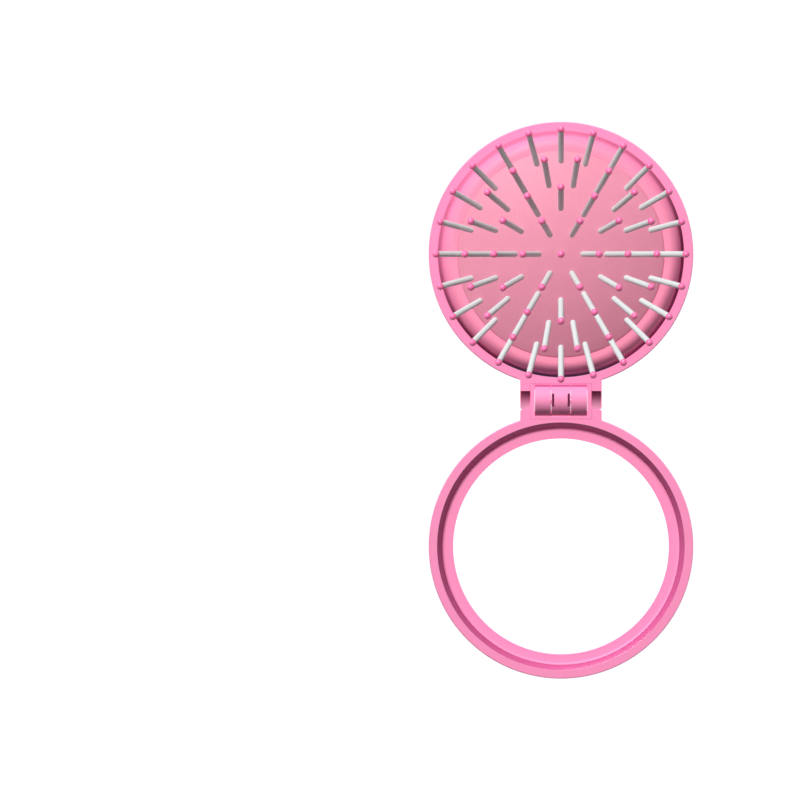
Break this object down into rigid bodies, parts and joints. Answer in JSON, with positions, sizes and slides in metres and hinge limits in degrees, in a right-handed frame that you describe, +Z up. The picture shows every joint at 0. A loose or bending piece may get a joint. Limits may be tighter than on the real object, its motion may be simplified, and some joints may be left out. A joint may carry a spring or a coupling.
{
  "type": "folding hairbrush with mirror",
  "caption": "Round folding hairbrush that opens flat: a pop-up pad of ball-tipped bristles in one half, a round mirror in the other, joined by a pinned hinge.",
  "frame": {"origin": "on the surface it rests on, below the middle of the hinge pin", "axes": "+Z up out of the open halves, +Y from the hinge to the brush half, +X along the hinge pin"},
  "size_m": [0.066, 0.1388, 0.0353],
  "materials": {
    "shell_plastic": "pink moulded plastic, smooth with a soft satin gloss",
    "frame_plastic": "pink moulded plastic, satin",
    "membrane_rubber": "pink flexible membrane, satin",
    "foam_tape": "white double-sided foam tape",
    "mirror_glass": "silvered glass",
    "heart_plastic": "glossy hot pink inlay",
    "pin_steel": "drawn steel wire",
    "pad_rubber": "salmon rubber pad with a fine satin grain",
    "button_plastic": "pink moulded plastic, satin",
    "bristle_nylon": "white nylon",
    "ball_tip": "glossy pink ball tips"
  },
  "bodies": {
    "brush_half": {"brush_shell": "shell_plastic", "clamp_ring": "frame_plastic", "pad_skirt": "membrane_rubber"},
    "mirror_half": {"mirror_shell": "shell_plastic", "mirror_frame": "frame_plastic", "mirror_tape": "foam_tape", "mirror_glass": "mirror_glass", "heart_inlay": "heart_plastic", "hinge_pin": "pin_steel"},
    "pad_carrier": {"pad_ring": "frame_plastic", "bristle_pad": "pad_rubber"},
    "pad_centre": {"push_button": "button_plastic", "bristle_centre": "bristle_nylon", "tip_centre": "ball_tip"},
    "spoke_1": {"bristles_spoke_1": "bristle_nylon", "tips_spoke_1": "ball_tip"},
    "spoke_2": {"bristles_spoke_2": "bristle_nylon", "tips_spoke_2": "ball_tip"},
    "spoke_3": {"bristles_spoke_3": "bristle_nylon", "tips_spoke_3": "ball_tip"},
    "spoke_4": {"bristles_spoke_4": "bristle_nylon", "tips_spoke_4": "ball_tip"},
    "spoke_5": {"bristles_spoke_5": "bristle_nylon", "tips_spoke_5": "ball_tip"},
    "spoke_6": {"bristles_spoke_6": "bristle_nylon", "tips_spoke_6": "ball_tip"},
    "wedge_1": {"bristles_wedge_1": "bristle_nylon", "tips_wedge_1": "ball_tip"},
    "wedge_2": {"bristles_wedge_2": "bristle_nylon", "tips_wedge_2": "ball_tip"},
    "wedge_3": {"bristles_wedge_3": "bristle_nylon", "tips_wedge_3": "ball_tip"},
    "wedge_4": {"bristles_wedge_4": "bristle_nylon", "tips_wedge_4": "ball_tip"},
    "wedge_5": {"bristles_wedge_5": "bristle_nylon", "tips_wedge_5": "ball_tip"},
    "wedge_6": {"bristles_wedge_6": "bristle_nylon", "tips_wedge_6": "ball_tip"}
  },
  "joints": [
    {"name": "mirror_fold", "type": "hinge", "parent": "brush_half", "child": "mirror_half", "pos_m": [0, 0, 0.01405], "axis": [-1, 0, 0], "range_deg": [0, 180]},
    {"name": "pad_pop", "type": "slide", "parent": "brush_half", "child": "pad_carrier", "axis": [0, 0, -1], "range_m": [0, 0.012], "deforming": ["pad_skirt"]},
    {"name": "button_push", "type": "slide", "parent": "brush_half", "child": "pad_centre", "axis": [0, 0, -1], "range_m": [0, 0.01715], "deforming": ["bristle_pad"]},
    {"name": "spoke_1_tilt", "type": "hinge", "parent": "pad_carrier", "child": "spoke_1", "pos_m": [0.02336, 0.03645, 0.01919], "axis": [0, -1, 0], "range_deg": [0, 17.5]},
    {"name": "spoke_2_tilt", "type": "hinge", "parent": "pad_carrier", "child": "spoke_2", "pos_m": [0.01168, 0.05668, 0.01919], "axis": [0.866, -0.5, 0], "range_deg": [0, 17.5]},
    {"name": "spoke_3_tilt", "type": "hinge", "parent": "pad_carrier", "child": "spoke_3", "pos_m": [-0.01168, 0.05668, 0.01919], "axis": [0.866, 0.5, 0], "range_deg": [0, 17.5]},
    {"name": "spoke_4_tilt", "type": "hinge", "parent": "pad_carrier", "child": "spoke_4", "pos_m": [-0.02336, 0.03645, 0.01919], "axis": [0, 1, 0], "range_deg": [0, 17.5]},
    {"name": "spoke_5_tilt", "type": "hinge", "parent": "pad_carrier", "child": "spoke_5", "pos_m": [-0.01168, 0.01622, 0.01919], "axis": [-0.866, 0.5, 0], "range_deg": [0, 17.5]},
    {"name": "spoke_6_tilt", "type": "hinge", "parent": "pad_carrier", "child": "spoke_6", "pos_m": [0.01168, 0.01622, 0.01919], "axis": [-0.866, -0.5, 0], "range_deg": [0, 17.5]},
    {"name": "wedge_1_tilt", "type": "hinge", "parent": "pad_carrier", "child": "wedge_1", "pos_m": [0.02023, 0.04813, 0.01919], "axis": [0.5, -0.866, 0], "range_deg": [0, 17.5]},
    {"name": "wedge_2_tilt", "type": "hinge", "parent": "pad_carrier", "child": "wedge_2", "pos_m": [0, 0.05981, 0.01919], "axis": [1, 0, 0], "range_deg": [0, 17.5]},
    {"name": "wedge_3_tilt", "type": "hinge", "parent": "pad_carrier", "child": "wedge_3", "pos_m": [-0.02023, 0.04813, 0.01919], "axis": [0.5, 0.866, 0], "range_deg": [0, 17.5]},
    {"name": "wedge_4_tilt", "type": "hinge", "parent": "pad_carrier", "child": "wedge_4", "pos_m": [-0.02023, 0.02477, 0.01919], "axis": [-0.5, 0.866, 0], "range_deg": [0, 17.5]},
    {"name": "wedge_5_tilt", "type": "hinge", "parent": "pad_carrier", "child": "wedge_5", "pos_m": [0, 0.01309, 0.01919], "axis": [-1, 0, 0], "range_deg": [0, 17.5]},
    {"name": "wedge_6_tilt", "type": "hinge", "parent": "pad_carrier", "child": "wedge_6", "pos_m": [0.02023, 0.02477, 0.01919], "axis": [-0.5, -0.866, 0], "range_deg": [0, 17.5]}
  ],
  "couplings": [
    {"joint": "mirror_fold", "follows": "pad_pop", "rad_per_m": 261.8},
    {"joint": "button_push", "follows": "pad_pop", "ratio": 1.4292},
    {"joint": "spoke_1_tilt", "follows": "pad_pop", "rad_per_m": 25.453},
    {"joint": "spoke_2_tilt", "follows": "pad_pop", "rad_per_m": 25.453},
    {"joint": "spoke_3_tilt", "follows": "pad_pop", "rad_per_m": 25.453},
    {"joint": "spoke_4_tilt", "follows": "pad_pop", "rad_per_m": 25.453},
    {"joint": "spoke_5_tilt", "follows": "pad_pop", "rad_per_m": 25.453},
    {"joint": "spoke_6_tilt", "follows": "pad_pop", "rad_per_m": 25.453},
    {"joint": "wedge_1_tilt", "follows": "pad_pop", "rad_per_m": 25.453},
    {"joint": "wedge_2_tilt", "follows": "pad_pop", "rad_per_m": 25.453},
    {"joint": "wedge_3_tilt", "follows": "pad_pop", "rad_per_m": 25.453},
    {"joint": "wedge_4_tilt", "follows": "pad_pop", "rad_per_m": 25.453},
    {"joint": "wedge_5_tilt", "follows": "pad_pop", "rad_per_m": 25.453},
    {"joint": "wedge_6_tilt", "follows": "pad_pop", "rad_per_m": 25.453}
  ]
}
